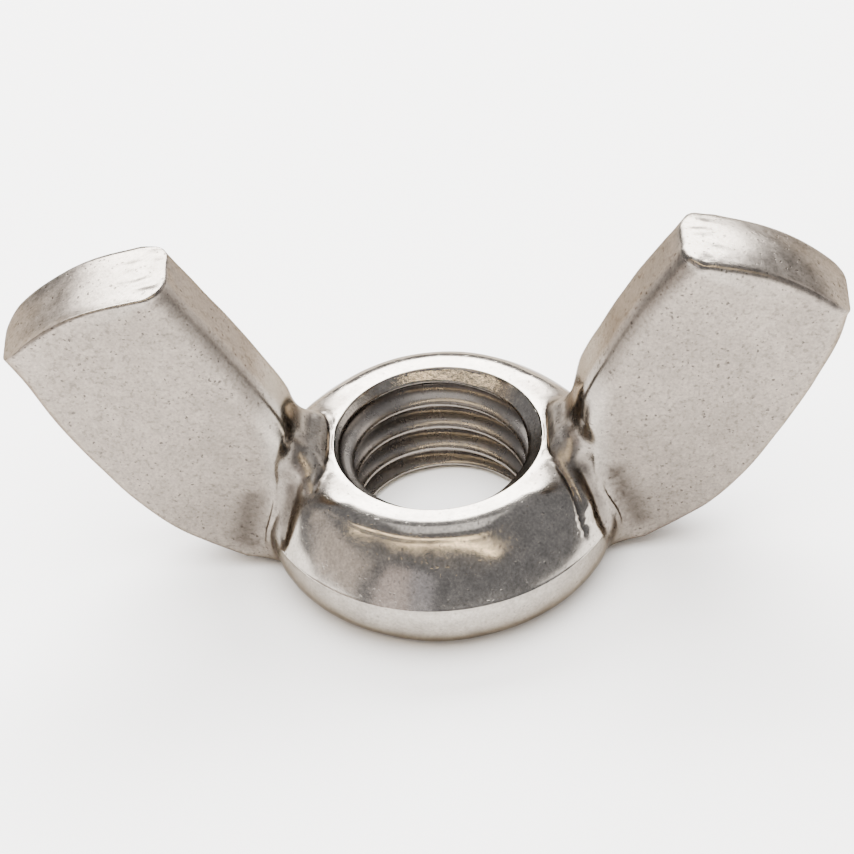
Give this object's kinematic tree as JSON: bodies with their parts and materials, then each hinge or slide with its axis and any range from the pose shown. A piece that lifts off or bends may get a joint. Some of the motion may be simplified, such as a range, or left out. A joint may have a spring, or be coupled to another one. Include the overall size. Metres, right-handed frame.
{
  "type": "wing nut",
  "caption": "Forged stainless wing nut with a round flared hub and thick splayed wings, turned by hand to clamp on a bolt.",
  "frame": {"origin": "on the thread axis, at the flat bearing face the nut clamps with", "axes": "+Z along the thread axis, away from the bearing face; +X through the middle of one wing"},
  "size_m": [0.0402, 0.0178, 0.0181],
  "materials": {
    "stainless_steel": "bright satin forged stainless steel, finely pitted on the wings, polished on the hub's edges"
  },
  "bodies": {
    "root": {"wing_nut": "stainless_steel"}
  },
  "joints": []
}
